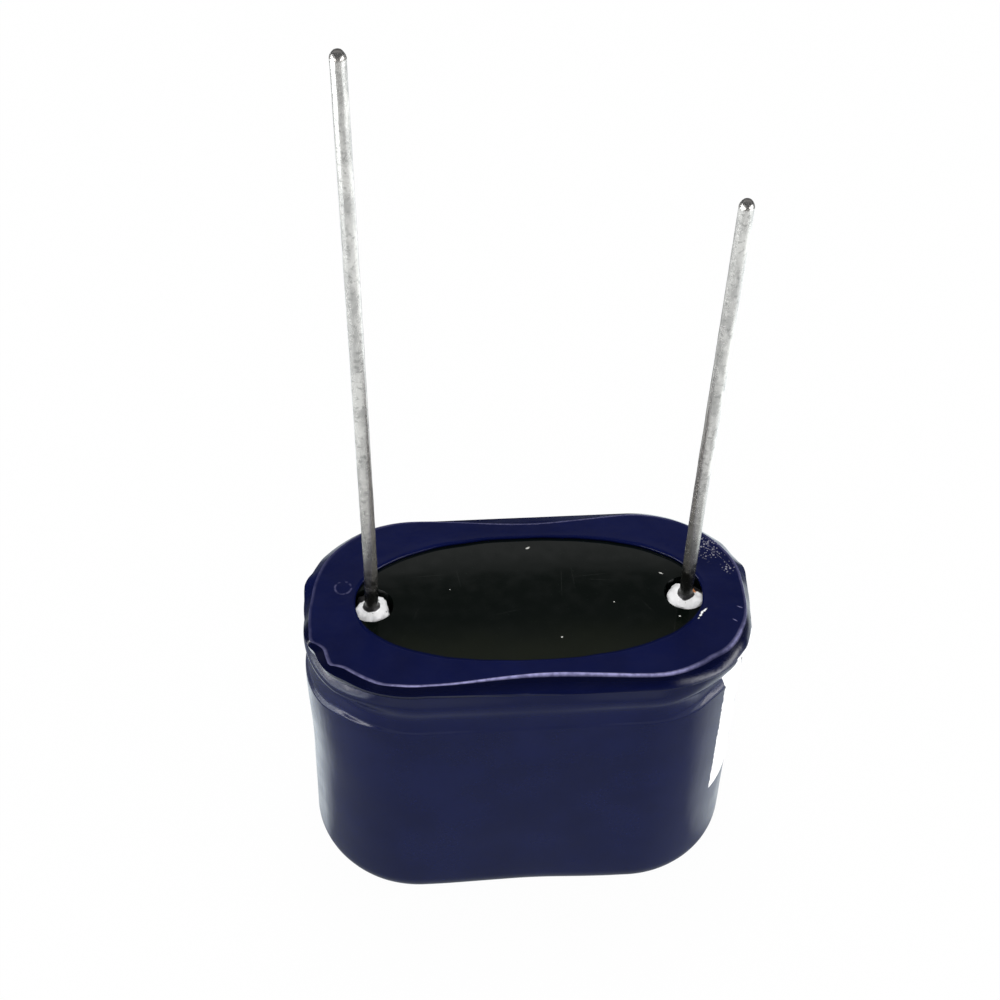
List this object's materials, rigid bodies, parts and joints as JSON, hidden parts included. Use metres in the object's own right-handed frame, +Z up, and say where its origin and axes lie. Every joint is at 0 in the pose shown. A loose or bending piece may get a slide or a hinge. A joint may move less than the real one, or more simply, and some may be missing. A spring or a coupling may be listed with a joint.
{
  "type": "supercapacitor module",
  "caption": "Supercapacitor module: round cells side by side in a dark blue heat-shrunk sleeve, with a black top plate and wire leads of unequal length.",
  "frame": {"origin": "middle of the footprint, on the plane that the base rests on", "axes": "+Z up along the leads, +X from the long positive lead towards the short negative lead, +Y across the two cells"},
  "size_m": [0.0164, 0.0084, 0.0373],
  "materials": {
    "cell_can": "satin drawn aluminium",
    "bung_rubber": "moulded rubber",
    "stub_metal": "bright aluminium",
    "lead_tin": "dull mottled tin plating",
    "plate_black": "smooth, fine scratches",
    "sleeve_film": "semi-gloss heat-shrunk film"
  },
  "bodies": {
    "root": {"positive_cell_can": "cell_can", "positive_cell_bung": "bung_rubber", "positive_lead_stub": "stub_metal", "positive_link_stub": "stub_metal", "positive_lead": "lead_tin", "positive_link_wire": "lead_tin", "negative_cell_can": "cell_can", "negative_cell_bung": "bung_rubber", "negative_lead_stub": "stub_metal", "negative_link_stub": "stub_metal", "negative_lead": "lead_tin", "negative_link_wire": "lead_tin", "top_plate": "plate_black", "shrink_sleeve": "sleeve_film"}
  },
  "joints": []
}
